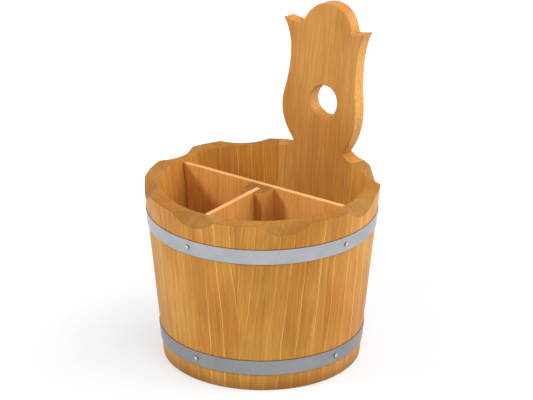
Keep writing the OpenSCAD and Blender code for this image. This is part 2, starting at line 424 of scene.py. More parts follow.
ends, given, result = group(
    "end_grain",
    [("Normal", VECTOR, None), ("Along", VECTOR, (0.0, 0.0, 1.0))],
    [("Mask", VALUE), ("Slant", VALUE)],
)
facing = node(ends, "ShaderNodeVectorMath", operation="DOT_PRODUCT",
              in_0=given["Normal"], in_1=given["Along"])
amount = math_node(ends, "ABSOLUTE", facing.outputs["Value"])
plug(ends, result["Mask"], smooth(ends, amount, *END_RISES))
# slanting faces: the recipe darkens them, partly as painted shade on the scoops
slant = times(ends, smooth(ends, amount, *SLANT_RISES), smooth(ends, amount, *SLANT_FALLS))
plug(ends, result["Slant"], slant)
first_slant, full_slant = [round(math.degrees(math.acos(limit))) for limit in SLANT_RISES]
print(f"a cut is slanting where its normal is {first_slant} to {full_slant} degrees off the board's length")

# %% [markdown]
# A thin dark line is painted on the wood along each hoop's edge. It is painted
# contact shade where the strip meets the staves. The foot of the tub, below the
# lower hoop, is darker towards the bottom, partly from dirt and partly from
# painted shade under the hoop. The group needs to know where it is: how far a
# point stands off the cone of the staves, and how high above the table.

# %% Group: painted hoop shade and the dark foot
HOOP_W = 14.6
HOOPS = {"lower": 17.0, "upper": 132.7}
OUTER_SKIN, FOOT_GRIME_SHADE_FALLS = (-0.003, -0.001), (0.016, 0.0)

marks_and_shade, given, result = group(
    "marks_and_shade",
    [("Place", VECTOR, None), ("Reach", VALUE, 0.0011)],
    [("Off wall", VALUE), ("Hoop shade", VALUE), ("Foot", VALUE)],
)
at = node(marks_and_shade, "ShaderNodeSeparateXYZ", in_0=given["Place"]).outputs
from_axis = hypotenuse(marks_and_shade, at["X"], minus(marks_and_shade, at["Y"], TUB_Y * MM))
off_wall = minus(marks_and_shade, from_axis, scaled(marks_and_shade, at["Z"], TAPER, BASE_R * MM))
# a dark line painted along each hoop's edge: painted contact shade
edge_shade = 0.0
for edge in [low + up for low in HOOPS.values() for up in (0, HOOP_W)]:
    away = math_node(marks_and_shade, "ABSOLUTE", minus(marks_and_shade, at["Z"], edge * MM))
    share = math_node(marks_and_shade, "DIVIDE", away, given["Reach"])
    near_edge = math_node(marks_and_shade, "SUBTRACT", 1.0, share, clamp=True)
    edge_shade = math_node(marks_and_shade, "MAXIMUM", edge_shade, near_edge)
edge_shade = times(marks_and_shade, edge_shade, smooth(marks_and_shade, off_wall, *OUTER_SKIN))
plug(marks_and_shade, result["Off wall"], off_wall)
plug(marks_and_shade, result["Hoop shade"], edge_shade)
# the foot darkens below the lower hoop, partly dirt and partly painted shade under it
plug(marks_and_shade, result["Foot"], smooth(marks_and_shade, at["Z"], *FOOT_GRIME_SHADE_FALLS))
# the lines along the hoops' edges are painted shade
print("hoops stand", HOOPS, "mm above the table and stain the wood along", 2 * len(HOOPS), "edges")

# %% [markdown]
# ## One recipe for every board
#
# Colours are written as a screen shows them, because that is how a picture is
# read. Shaders want linear light, so one function changes one into the other.
# Cut ends get a tint that multiplies the board's own colour, and each tint is
# named for what has happened to the wood there.

# %% Colours of wood
def srgb(red, green, blue):
    """A screen colour, 0 to 255, as the linear colour that shaders take."""
    linear = [
        c / 12.92 if c <= 0.04045 else ((c + 0.055) / 1.055) ** 2.4
        for c in (red / 255, green / 255, blue / 255)
    ]
    return (*linear, 1.0)


UNTINTED, END_LINE = (1.0, 1.0, 1.0, 1.0), (0.74, 0.66, 0.56, 1.0)
SOAKED, FRESH = (0.63, 0.6, 0.46, 1.0), (1.1, 1.22, 1.6, 1.0)
WORN, SANDED = (0.46, 0.44, 0.38, 1.0), (1.02, 0.95, 0.86, 1.0)
# one dark colour for the painted shade along the hoops' edges, and for the foot's dirt and painted shade
GRIME_AND_SHADE = srgb(104, 62, 28)
print("stained wood in linear light:", [round(c, 3) for c in GRIME_AND_SHADE[:3]])

# %% [markdown]
# Each board is its own piece of a log, so each has its own pith, ring width and
# seed. The Mapping node turns the row's coordinates into the board's: X across
# it, Y into its depth and Z along its length. The colour is then made in
# layers, as a painter would: a ground that shifts with the fibres, the rings
# over it, the tint of cut ends, and last the painted shade along the hoops'
# edges and the dark foot, which is partly dirt and partly painted shade.

# %% Layers of the wood's colour
GROUND = {"Broad": 0.24, "Band": 0.16, "Cloud": 0.6}
RING_ARCS = 0.9
# how much a mark changes the brightness, and the brightness where it is least
RING_TONE, FINE_TONE, CLOUD_TONE = (0.08, 0.96), (0.32, 0.84), (0.08, 0.97)
FUZZ_SCALE, FUZZ_DETAIL, FUZZ_RISES = 700.0, 2.0, (0.3, 0.65)
# how fully the painted hoop-edge shade and the foot's dirt and painted shade cover the wood
HOOP_SHADE_COVERS, FOOT_GRIME_SHADE_COVERS = 0.85, 0.5


def ringed(tree, marks, strands, mask, shades, line):
    """The ground in its two darker shades, with pale rings on it that are dark arcs on cut ends."""
    dark, middle, light = shades
    ground = scaled(tree, strands["Broad"], GROUND["Broad"], times(tree, marks["Band"], GROUND["Band"]))
    ground = scaled(tree, strands["Cloud"], GROUND["Cloud"], ground)
    colour = mix(tree, ground, dark, middle)
    on_face = times(tree, marks["Line"], minus(tree, 1.0, mask))
    colour = mix(tree, times(tree, on_face, line), colour, light)
    on_end = times(tree, times(tree, marks["Line"], mask), RING_ARCS)
    return mix(tree, on_end, colour, mix(tree, 1.0, dark, END_LINE, "MULTIPLY"))


def brightness(tree, marks, strands, slant, tear_and_shade):
    """How bright the wood is by ring, fibre and cloud, and darker on slanting cuts, partly for torn fibres
    and partly as painted shade on the scoops.
    """
    ring_tone = scaled(tree, marks["Tone"], *RING_TONE)
    fine_tone = scaled(tree, strands["Fine"], *FINE_TONE)
    cloud_tone = scaled(tree, strands["Cloud"], *CLOUD_TONE)
    tone = times(tree, times(tree, ring_tone, fine_tone), cloud_tone)
    # slanting cuts darker: torn fibres, and painted shade on the scoops
    return times(tree, tone, scaled(tree, slant, -tear_and_shade, 1.0))


def fuzzy_edges(tree, where, face, paler):
    """1, and more on a board's narrow edges, in the spots where the saw left them fuzzy."""
    edge = use_group(tree, ends, Normal=face, Along=(1.0, 0.0, 0.0))
    fuzz = node(tree, "ShaderNodeTexNoise", in_0=where, in_2=FUZZ_SCALE, in_3=FUZZ_DETAIL).outputs["Fac"]
    spots = times(tree, edge["Mask"], smooth(tree, fuzz, *FUZZ_RISES))
    return scaled(tree, spots, paler, 1.0)


def marked_and_shaded(tree, where, colour):
    """The colour with the painted shade along the hoops' edges and the darker foot, partly dirt and partly
    painted shade, over it.
    """
    use = use_group(tree, marks_and_shade, Place=where)
    covered = plus(tree, times(tree, use["Hoop shade"], HOOP_SHADE_COVERS), times(tree, use["Foot"], FOOT_GRIME_SHADE_COVERS))
    return mix(tree, covered, colour, GRIME_AND_SHADE)


print("layers of wood: ringed, brightness, fuzzy_edges and marked_and_shaded")

# %% [markdown]
# The surface is oiled, not varnished: a weak, broad shine that is a little
# duller on cut ends, and bumps no deeper than a tenth of a millimetre, so that
# the fibres catch a low light without looking carved.

# %% Helpers: a surface and its bumps
BUMP_DEPTH = 0.0001


def principled(name):
    """A new material with a Principled BSDF: the material, its tree and the shader's sockets."""
    material, tree = empty_material(name)
    surface = node(tree, "ShaderNodeBsdfPrincipled")
    node(tree, "ShaderNodeOutputMaterial", in_0=surface.outputs[0])
    return material, tree, surface.inputs


def bumped(tree, surface, height, strength):
    """Gives a surface small bumps after a height."""
    bump = node(tree, "ShaderNodeBump", in_0=strength, in_1=BUMP_DEPTH)
    plug(tree, bump.inputs["Height"], height)
    plug(tree, surface["Normal"], bump.outputs[0])


print("bumps are at most", BUMP_DEPTH / MM, "mm deep")

# %% [markdown]
# Now the layers go into one material. The Principled BSDF stays in the material
# itself, and the groups only feed its colour, roughness and bumps. Boards differ
# in the values that they pass on, and one more layer is for sawn edges.

# %% Wood recipe
OILED_SHINE, OILED_ROUGH, FINE_SMOOTHS, END_ROUGHENS = 0.22, 0.51, -0.1, 0.2
DRIFT, FINENESS = 0.03, 900.0
WOOD_BUMP, LINE_RAISED = 0.3, 0.5


def wood(name, place, turn, pith, ring, seed, shades, tilt=0.0,
         wander=0.007, line=0.85, end_tint=SOAKED, sawn=0.0, tear_and_shade=0.2):
    """Oiled wood for the board whose middle is at place and whose length lies along its turned Z.
    pith is how far across and behind it the log's middle lies, and ring a growth ring's width.
    shades are its dark, middle and light colours. tilt is how far the grain leans across the board,
    wander how far the rings sway and line how strong they are. end_tint multiplies the cut ends,
    sawn is how much paler the narrow edges are, and tear_and_shade how much darker the slanting cuts are,
    partly for torn fibres and partly as painted shade on the rim's scoops."""
    material, tree, surface = principled(name)
    coordinates = node(tree, "ShaderNodeTexCoord").outputs
    where, grain_turn = coordinates["Object"], (turn[0], turn[1] + tilt, turn[2])
    board = node(tree, "ShaderNodeMapping", vector_type="TEXTURE",
                 in_0=where, in_1=place, in_2=grain_turn).outputs[0]
    face = node(tree, "ShaderNodeMapping", vector_type="TEXTURE",
                in_0=coordinates["Normal"], in_2=grain_turn).outputs[0]
    marks = use_group(tree, rings, Place=board, Pith_across=pith[0], Pith_behind=pith[1],
                      Drift=DRIFT, Ring_width=ring, Wander=wander, Seed=seed)
    strands = use_group(tree, fibres, Place=board, Fineness=FINENESS, Seed=seed)
    end = use_group(tree, ends, Normal=face)
    colour = ringed(tree, marks, strands, end["Mask"], shades, line)
    colour = mix(tree, 1.0, colour, mix(tree, end["Mask"], UNTINTED, end_tint), "MULTIPLY")
    # slanting cuts darker: torn fibres, and painted shade on the scoops
    tone = brightness(tree, marks, strands, end["Slant"], tear_and_shade)
    if sawn:
        tone = times(tree, tone, fuzzy_edges(tree, where, face, sawn))
    colour = mix(tree, 1.0, colour, tone, "MULTIPLY")
    plug(tree, surface["Base Color"], marked_and_shaded(tree, where, colour))
    surface["Specular IOR Level"].default_value = OILED_SHINE
    rough = scaled(tree, strands["Fine"], FINE_SMOOTHS, OILED_ROUGH)
    plug(tree, surface["Roughness"], scaled(tree, end["Mask"], END_ROUGHENS, rough))
    bumped(tree, surface, scaled(tree, marks["Line"], LINE_RAISED, strands["Fine"]), WOOD_BUMP)
    print(f"{name}: rings {ring / MM:.1f} mm wide, {len(tree.nodes)} nodes")
    return material


print("wood is oiled to a shine of", OILED_SHINE, "and a roughness of", OILED_ROUGH)

# %% [markdown]
# ## Rolled steel
#
# The hoops are narrow strips of dull steel. Rolling leaves faint lines along
# the strip and slow grey clouds. The lines are noise squeezed in height, so they
# run level round the tub. A nail's head has no lines, and it gets painted shade
# where it meets the strip. The group that knows the distance off the wall finds
# that place.

# %% Steel recipe
LINE_SCALE, LINE_DETAIL, LINE_ROUGH = 60.0, 4.0, 0.6
GREY_CLOUD_SCALE, GREY_CLOUD_DETAIL = 45.0, 3.0
# how much a mark changes the brightness, and the brightness where it is least
LINE_TONE, GREY_CLOUD_TONE = (0.16, 0.92), (0.4, 0.8)
CLOUD_ROUGHENS, STEEL_BUMP, SKIRT_SHADE_FULL = 0.2, 0.15, 0.6
# the colour of the painted shade at a nail head's skirt
SKIRT_SHADE = srgb(58, 50, 44)


def steel(name, bright, rough, brushed=1.0, skirt=0.0):
    """Dull steel of a bright colour and a roughness. brushed squeezes its marks to level lines,
    and skirt is how far off the wall, in metres, it is darkened by painted shade."""
    material, tree, surface = principled(name)
    where = node(tree, "ShaderNodeTexCoord").outputs["Object"]
    squeezed = node(tree, "ShaderNodeVectorMath", operation="MULTIPLY", in_0=where, in_1=(1, 1, brushed))
    lines = node(tree, "ShaderNodeTexNoise", in_0=squeezed.outputs[0],
                 in_2=LINE_SCALE, in_3=LINE_DETAIL, in_4=LINE_ROUGH).outputs["Fac"]
    clouds = node(tree, "ShaderNodeTexNoise", in_0=where,
                  in_2=GREY_CLOUD_SCALE, in_3=GREY_CLOUD_DETAIL).outputs["Fac"]
    tone = times(tree, scaled(tree, lines, *LINE_TONE), scaled(tree, clouds, *GREY_CLOUD_TONE))
    colour = mix(tree, 1.0, bright, tone, "MULTIPLY")
    if skirt:
        off_wall = use_group(tree, marks_and_shade, Place=where)["Off wall"]
        # painted shade where a nail's head meets the strip
        colour = mix(tree, smooth(tree, off_wall, skirt, skirt * SKIRT_SHADE_FULL), colour, SKIRT_SHADE)
    plug(tree, surface["Base Color"], colour)
    surface["Metallic"].default_value = 1.0
    plug(tree, surface["Roughness"], scaled(tree, clouds, CLOUD_ROUGHENS, rough - CLOUD_ROUGHENS / 2))
    bumped(tree, surface, lines, STEEL_BUMP)
    print(f"{name}: roughness about {rough}, {len(tree.nodes)} nodes")
    return material


BRUSHED, NAIL_SKIRT = 30.0, 0.0021
hoop_steels = {
    "upper": steel("upper_hoop_steel", srgb(168, 171, 175), 0.42, brushed=BRUSHED),
    # the lower hoop's darker grey is painted shade: it stands for the shaded table by the foot, which that
    # hoop mirrors
    "lower": steel("lower_hoop_steel", srgb(144, 147, 151), 0.44, brushed=BRUSHED),
}
nail_steel = steel("nail_steel", srgb(192, 189, 182), 0.3, skirt=NAIL_SKIRT)

# %% [markdown]
# ## Turning points into pieces
#
# Every piece below is a mesh made from lists of points. One helper joins the
# points into a Blender object, smooths it, and leaves an edge sharp only where
# two faces meet at a real corner. The Weighted Normal modifier keeps the large
# faces flat in the light right up to their rounded edges.

# %% Helper: a piece from points and faces
CORNER, WELD = math.radians(38), 2e-7


def piece(name, points, faces, material, body, slot, *stands_for):
    """A piece of the caddy, riding on a body and standing for one or more CAD nodes."""
    mesh = bpy.data.meshes.new(name)
    mesh.from_pydata([tuple(p) for p in in_row(points)], [], faces)
    build = bmesh.new()
    build.from_mesh(mesh)
    bmesh.ops.remove_doubles(build, verts=build.verts, dist=WELD)
    bmesh.ops.recalc_face_normals(build, faces=build.faces)
    loose = sum(1 for edge in build.edges if not edge.is_manifold)
    build.to_mesh(mesh)
    build.free()
    mesh.shade_smooth()
    mesh.set_sharp_from_angle(angle=CORNER)
    mesh.materials.append(material)
    made = bpy.data.objects.new(name, mesh)
    bpy.context.scene.collection.objects.link(made)
    flat = made.modifiers.new("flat_faces", "WEIGHTED_NORMAL")
    flat.keep_sharp = True
    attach(made, body)
    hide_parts(*stands_for)
    print(f"{name}: {len(mesh.vertices)} points, {len(mesh.polygons)} faces, {loose} open edges")
    return made


print(f"two faces meet at a corner where they turn by {math.degrees(CORNER):.0f} degrees or more")

# %% [markdown]
# ## The plain staves
#
# A stave is drawn as one section, a loop that goes up the outer face, over the
# rim, down the inner face, round the floor board's groove and under the foot.
# That section is repeated at small steps of angle, and the steps are joined by
# faces. This is called lofting. It suits a stave because only the rim changes
# from step to step, where the gouge has scooped it.

# %% Helper: rounded corners on a section
FAIR_SHARE = 0.45


def rounded(corners, steps=3):
    """A closed outline from (x, y, radius) corners, each turned by an arc of steps + 1 points."""
    points = []
    for i, (x, y, radius) in enumerate(corners):
        here = np.array((x, y))
        back = np.array(corners[i - 1][:2]) - here
        ahead = np.array(corners[(i + 1) % len(corners)][:2]) - here
        room_here = FAIR_SHARE * min(np.linalg.norm(back), np.linalg.norm(ahead))
        back /= np.linalg.norm(back)
        ahead /= np.linalg.norm(ahead)
        half = math.acos(max(-1.0, min(1.0, back @ ahead))) / 2
        cut = min(radius / math.tan(half), room_here)
        real = cut * math.tan(half)
        centre = here + (back + ahead) / np.linalg.norm(back + ahead) * real / math.sin(half)
        first, last = here + back * cut - centre, here + ahead * cut - centre
        swing = math.pi - 2 * half
        for k in range(steps + 1):
            share = k / steps
            arm = math.sin((1 - share) * swing) * first + math.sin(share * swing) * last
            points.append(centre + arm / math.sin(swing))
    return np.array(points)


square = rounded([(0.0, 0.0, 1.0), (9.0, 0.0, 1.0), (9.0, 9.0, 1.0), (0.0, 9.0, 1.0)])
print("a square with four rounded corners has", len(square), "points")

# %% [markdown]
# The rim's hollows are cut with a gouge, a chisel with a round blade. It is
# pushed through the rim at a slope, down and outwards, so each scoop is part of
# a sloping cylinder. Its height over any point follows from a formula, and the
# two edges where it meets the rim and the outer face are found by trial.

# %% Helper: the scoop in a stave's rim
SCOOP_R, SCOOP_DEPTH, SCOOP_SLOPE = 50.0, 8.5, math.radians(45)
EASED, RIM_LEFT, TRIALS = 0.9, 2.0, 40


def scoop_height(radius, angle):
    """Height of the scooped surface at a radius, and an angle in radians from the scoop's middle."""
    side = radius * math.sin(angle)
    if abs(side) >= SCOOP_R:
        return math.inf
    out = radius * math.cos(angle) - RIM_R
    lift = SCOOP_R - SCOOP_DEPTH - math.sqrt(SCOOP_R ** 2 - side ** 2)
    return RIM_H + (lift - out * math.sin(SCOOP_SLOPE)) / math.cos(SCOOP_SLOPE)


def scoop_edges(angle):
    """Where the scoop leaves the outer face, as a height, and where it meets the flat rim, as a radius.
    Beside the scoop, these are the two ends of the rim's eased corner."""
    low, high = inner_r(RIM_H) + RIM_LEFT, RIM_R
    for _ in range(TRIALS):
        middle = (low + high) / 2
        low, high = (middle, high) if scoop_height(middle, angle) > RIM_H else (low, middle)
    foot = RIM_H
    for _ in range(TRIALS):
        foot = min(RIM_H, scoop_height(outer_r(foot), angle))
    return min(foot, RIM_H - EASED), min(low, RIM_R - EASED)


foot, edge = scoop_edges(0.0)
print(f"in its middle a scoop runs from {foot:.1f} mm high outside to {edge:.1f} mm from the axis on top")

# %% [markdown]
# The section's corners are rounded by what each one has been through: a little
# at the groove, which is hidden, more at the foot, and most at the rim, where
# hands wear it.

# %% Helper: a stave's section at one angle
GROOVE_R = inner_r(FLOOR_LIFT + FLOOR_T / 2) + GROOVE
GROOVE_TOP = FLOOR_LIFT + FLOOR_T + FLOOR_PLAY
HIDDEN_ROUND, FOOT_ROUND, SCOOP_ROUND, RIM_ROUND = 0.2, 0.4, 0.7, 1.0


def stave_section(from_middle):
    """A stave's outline in radius and height, at an angle in radians from its middle."""
    foot, edge = scoop_edges(from_middle)
    return rounded([
        (BASE_R - FOOT_BEVEL, 0, FOOT_ROUND),
        (outer_r(FOOT_BEVEL), FOOT_BEVEL, FOOT_ROUND),
        (outer_r(foot), foot, SCOOP_ROUND),
        (edge, RIM_H, RIM_ROUND),
        (inner_r(RIM_H), RIM_H, RIM_ROUND),
        (inner_r(GROOVE_TOP), GROOVE_TOP, HIDDEN_ROUND),
        (GROOVE_R, GROOVE_TOP, HIDDEN_ROUND),
        (GROOVE_R, FLOOR_LIFT, HIDDEN_ROUND),
        (inner_r(FLOOR_LIFT), FLOOR_LIFT, HIDDEN_ROUND),
        (inner_r(CHIME), CHIME, FOOT_ROUND),
        (inner_r(0) + CHIME, 0, FOOT_ROUND),
    ])


def shrunk(section, by):
    """The section moved inwards by a distance along its normals."""
    along = np.roll(section, -1, axis=0) - np.roll(section, 1, axis=0)
    inwards = np.stack([-along[:, 1], along[:, 0]], axis=1)
    return section + by * inwards / np.linalg.norm(inwards, axis=1)[:, None]


def round_tub(section, angle):
    """A section in radius and height, set up at an angle round the tub, in radians."""
    return [(r * math.sin(angle), -r * math.cos(angle), z) for r, z in section]


print("a stave's section has", len(stave_section(0.0)), "points")

# %% [markdown]
# A loft needs its loops to have equally many points, in the same order. Then
# point after point of one loop joins the same point of the next, and a cap at
# each end closes the solid. The hoops and the nails are made by it as well.

# %% Helper: loft
def loft(sections):
    """Points and faces that join equal loops one after the other, with a cap at each end."""
    size, points = len(sections[0]), [p for loop in sections for p in loop]
    faces = []
    for i in range(len(sections) - 1):
        this, following = i * size, (i + 1) * size
        for j in range(size):
            k = (j + 1) % size
            faces.append((this + j, this + k, following + k, following + j))
    faces.append(tuple(range(size))[::-1])
    faces.append(tuple(range(len(points) - size, len(points))))
    return points, faces


print("a loft of two squares has", len(loft([[(0, 0, 0)] * 4, [(0, 0, 1)] * 4])[1]), "faces")

# %% [markdown]
# The long edges where two staves meet are eased by a hair, as sandpaper leaves
# them. That is what makes a joint show as a thin line and not as a gap.

# %% Make the plain staves
JOINT_EASE, EASE_ENDS = 0.35, 1.2
EASE_SHARES = (0.0, 0.35, 1.0)


def plain_stave(name, start, span, material):
    """A stave from an angle round the tub, over a span, both in degrees, with a section at each degree."""
    half = math.radians(span) / 2
    middle = math.radians(start) + half
    sections = []
    for share in EASE_SHARES:
        gap = JOINT_EASE * share
        by = JOINT_EASE - math.sqrt(JOINT_EASE ** 2 - (JOINT_EASE - gap) ** 2)
        sections.append((-half + gap / RIM_R, by))
    steps = round(span)
    reach = half - EASE_ENDS / RIM_R
    sections += [(-reach + 2 * reach * i / steps, 0.0) for i in range(steps + 1)]
    sections += [(-angle, by) for angle, by in sections[2::-1]]
    loops = [round_tub(shrunk(stave_section(a), by), middle + a) for a, by in sections]
    return piece(name, *loft(loops), material, "tub", "stave_wood", name.replace("_wood", ""))


HONEY = srgb(184, 114, 38), srgb(204, 148, 66), srgb(232, 182, 100)
MIDDLE_H = 90.0


def stave_place(angle):
    """The middle of a stave's outer face and its turn, for the Mapping node."""
    turn = math.radians(angle)
    return tuple(in_row(round_tub([(outer_r(MIDDLE_H), MIDDLE_H)], turn))[0]), (LEAN, 0, turn)


# name: first joint and span in degrees, pith across and behind, ring width, the grain's tilt, seed
STAVES = {
    "front_stave": (-23, 46, (-0.055, 0.035), 0.0062, -0.02, 1.0),
    "right_front_stave": (23, 48, (-0.060, 0.040), 0.0058, 0.06, 2.0),
    "left_front_stave": (-71, 48, (0.004, 0.050), 0.0060, 0.02, 3.0),
    "right_back_stave": (71, 46, (0.060, 0.035), 0.0066, 0.0, 4.0),
    "left_back_stave": (-117, 46, (-0.008, 0.060), 0.0070, 0.03, 5.0),
    "right_flank_stave": (117, 36.5, (0.040, 0.035), 0.0056, 0.0, 6.0),
    "left_flank_stave": (-153.5, 36.5, (-0.050, 0.040), 0.0064, 0.02, 7.0),
}
for name, (start, span, pith, ring, tilt, seed) in STAVES.items():
    place, turn = stave_place(start + span / 2)
    figure = wood(name + "_oiled", place, turn, pith, ring, seed, HONEY, tilt=tilt)
    plain_stave(name + "_wood", start, span, figure)

# %% [markdown]
# ## Plates with rounded edges
#
# The handle stave and the divider's boards are plates: an outline with a
# thickness. The edge is rounded with a few loops that step inwards as they
# near the face, and the face is filled with triangles inside the last loop.
# A separate function puts each point in its place, so the same helper makes a
# flat board and a board that bends round the tub.

# %% Helpers: loops and what lies in them
def mitred(loop, by):
    """A counter-clockwise loop moved inwards, each point by its own distance."""
    ahead = np.roll(loop, -1, axis=0) - loop
    ahead /= np.linalg.norm(ahead, axis=1)[:, None]
    left = np.stack([-ahead[:, 1], ahead[:, 0]], axis=1)
    before = np.roll(left, 1, axis=0)
    corner = (left + before) / (1 + np.sum(left * before, axis=1))[:, None]
    return loop + corner * np.asarray(by)[:, None]


def inside(loop, points):
    """Which points lie inside a loop."""
    hit = np.zeros(len(points), bool)
    for (x1, y1), (x2, y2) in zip(loop, np.roll(loop, -1, axis=0)):
        crosses = (y1 > points[:, 1]) != (y2 > points[:, 1])
        if y1 != y2:
            hit ^= crosses & (points[:, 0] < (x2 - x1) * (points[:, 1] - y1) / (y2 - y1) + x1)
    return hit


def near(loop, points, distance):
    """Which points lie closer than a distance to a loop's own points."""
    gaps = np.linalg.norm(points[:, None] - loop[None], axis=2)
    return gaps.min(axis=1) < distance


corners = np.array([(0.0, 0.0), (9.0, 0.0), (9.0, 9.0), (0.0, 9.0)])
smaller = mitred(corners, np.ones(4))
print("a square of 9 mm, moved inwards by 1 mm, is", np.ptp(smaller[:, 0]), "mm wide")

# %% [markdown]
# A flat face with holes in it is filled by a Delaunay triangulation, which
# avoids thin slivers. It fills the whole hull of the points, so the triangles
# outside the outline or inside a hole are thrown away.

# %% Helper: triangles in a face
SAME_POINT = 1e-5


def face_triangles(loops, spare):
    """Triangles between an outer loop and its holes, using the spare points as well."""
    points, edges = [tuple(p) for loop in loops for p in loop], []
    for i, loop in enumerate(loops):
        start = sum(len(one) for one in loops[:i])
        edges += [(start + j, start + (j + 1) % len(loop)) for j in range(len(loop))]
    points += [tuple(p) for p in spare]
    made = geometry.delaunay_2d_cdt([Vector(p) for p in points], edges, [], 0, SAME_POINT)
    source = [rows[0] for rows in made[3]]
    triangles = np.array([[source[v] for v in tri] for tri in made[2]])
    middle = np.array(points)[triangles].mean(axis=1)
    keep = inside(loops[0], middle)
    for hole in loops[1:]:
        keep &= ~inside(hole, middle)
    return triangles[keep]


print("a square is filled by", len(face_triangles([corners], [])), "triangles")

# %% [markdown]
# A rounded edge is a quarter of an arc at each face. Each row of points on it
# lies a little further in from the outline and a little nearer the face than
# the row before. The rows of both edges, one after the other, make the plate's
# sides as well.

# %% Helper: a rounded plate
def edge_rows(loops, radii, steps):
    """The rows of points over a plate's rounded edges, from its first face to the other.
    A row is its flat points, their depths below a face, and which face that is."""
    rows = []
    for side in (0, 1):
        for k in range(steps + 1):
            turn = math.pi / 2 * k / steps
            row = [mitred(l, r * (1 - math.cos(turn))) for l, r in zip(loops, radii)]
            depth = np.concatenate([r * (1 - math.sin(turn)) for r in radii])
            rows.append((np.concatenate(row), depth, side))
    return rows[steps::-1] + rows[steps + 1:]


def plate(outline, holes, radii, put, spare=(), steps=3):
    """Points and faces of a plate. radii holds a rounding radius for each outline and hole point,
    and put(x, y, depth, side) places points, side 0 for depths from the first face and 1 from the other."""
    loops = [np.asarray(outline, float)] + [np.asarray(h, float)[::-1] for h in holes]
    sizes = [len(loop) for loop in loops]
    starts = np.cumsum([0] + sizes[:-1])
    total = sum(sizes)
    rows = edge_rows(loops, radii, steps)
    points, faces = [], []
    for flat, depth, side in rows:
        points += list(put(flat[:, 0], flat[:, 1], depth, side))
    for this in range(0, (len(rows) - 1) * total, total):
        following = this + total
        for start, size in zip(starts, sizes):
            for j in range(size):
                a, b = start + j, start + (j + 1) % size
                faces.append((this + a, this + b, following + b, following + a))
    face_points = rows[0][0]
    face_loops = [face_points[start:start + size] for start, size in zip(starts, sizes)]
    spare = np.asarray(spare, float).reshape(-1, 2)
    triangles = face_triangles(face_loops, spare)
    for side, base in ((0, 0), (1, (len(rows) - 1) * total)):
        more = len(points)
        points += list(put(spare[:, 0], spare[:, 1], np.zeros(len(spare)), side))
        for tri in triangles:
            faces.append(tuple(int(base + v if v < total else more + v - total) for v in tri))
    return points, faces


print("a plate's edge takes", len(edge_rows([corners], [np.ones(4)], 3)), "rows of points")

# %% [markdown]
# ## The handle stave
#
# Its lower half is a stave like the others. Above the rim the sides are sawn to
# a tulip: round hips, a waist, two petals that flare to points, and a dome
# between them. The outline is drawn flat, with the arcs that a maker would
# draw, and then bent on to the cone of the tub.
#
# Two arcs join without a corner where their centres and the joint lie on one
# line. That gives the waist's radius from the hip's, and the height of the joint.

# %% The handle's measures
HIP_HALF, HIP_UP, HIP_R = 42.1, 41.5, 60.0
WAIST_HALF, WAIST_UP, FLARE_R = 37.5, 88.0, 84.0
PETAL_UP, PETAL_DROP = 123.2, 4.2
DOME_R, DOME_UP = 28.0, 143.2
HOLE_R, HOLE_UP = 15.2, 47.4
SHOULDER_RISE, SHOULDER_HALF = 2.7, 34.5
HALF_SPAN = math.radians(26.5)

RIM_V = RIM_H / math.cos(LEAN)
hip_x = HIP_HALF - HIP_R
rise, run = WAIST_UP - HIP_UP, WAIST_HALF - hip_x
WAIST_R = (run ** 2 + rise ** 2 - HIP_R ** 2) / (2 * (HIP_R - run))
blend_up = HIP_UP + rise * HIP_R / (HIP_R + WAIST_R)
foot_up = PETAL_UP - PETAL_DROP
dome_middle = DOME_UP - DOME_R
foot_x = math.sqrt(DOME_R ** 2 - (foot_up - dome_middle) ** 2)


def half_width(up):
    """Half the handle's width at a height above the rim, up to the petals' tips."""
    if up < blend_up:
        return hip_x + math.sqrt(HIP_R ** 2 - (up - HIP_UP) ** 2)
    if up < WAIST_UP:
        return WAIST_HALF + WAIST_R - math.sqrt(WAIST_R ** 2 - (up - WAIST_UP) ** 2)
    return WAIST_HALF + FLARE_R - math.sqrt(FLARE_R ** 2 - (up - WAIST_UP) ** 2)


def side_half(v):
    """Half the stave's width at a length along it, below the rim."""
    return outer_r(v * math.cos(LEAN)) * math.sin(HALF_SPAN)


print(f"the waist's radius is {WAIST_R:.1f} mm, and it meets the hip {blend_up:.1f} mm above the rim")

# %% [markdown]
# Half the outline is drawn, from the foot upwards: the side of the stave, the
# shoulder, the handle's side and the petal's top. The dome follows, then the
# same half mirrored and the foot. Points are close together only on curves,
# apart from the two edges of the groove, which need a row on either side.

# %% The handle's outline
STEP = 0.02
SIDE_FROM, SIDE_TO, LAST_ROW, SIDE_ROWS = 30.0, RIM_V - 8, RIM_V - 3, 12
SHOULDER_POINTS, SIDE_POINTS, DOME_POINTS, FOOT_POINTS, HOLE_POINTS = 6, 52, 41, 25, 64

groove_rows = [FLOOR_LIFT, FLOOR_LIFT + STEP, GROOVE_TOP - STEP, GROOVE_TOP]
low_rows = [FOOT_BEVEL, CHIME] + groove_rows
side_rows = low_rows + list(np.linspace(SIDE_FROM, SIDE_TO, SIDE_ROWS)) + [LAST_ROW]
tip = half_width(PETAL_UP)
right = [(side_half(v), v) for v in side_rows]
right += [(x, RIM_V) for x in np.linspace(side_half(RIM_V), SHOULDER_HALF, SHOULDER_POINTS)]
right += [(half_width(up), RIM_V + up) for up in np.linspace(SHOULDER_RISE, PETAL_UP, SIDE_POINTS)]
for share in (0.2, 0.4, 0.6, 0.8):
    right.append((tip + (foot_x - tip) * share, RIM_V + PETAL_UP - PETAL_DROP * share))
start = math.atan2(foot_up - dome_middle, foot_x)
dome = [(DOME_R * math.cos(a), RIM_V + dome_middle + DOME_R * math.sin(a))
        for a in np.linspace(start, math.pi - start, DOME_POINTS)]
left = [(-x, v) for x, v in right[::-1]]
bottom = [(x, 0.0) for x in np.linspace(-side_half(0), side_half(0), FOOT_POINTS)]
handle_outline = np.array(right + dome + left + bottom)
hole_v = RIM_V + HOLE_UP
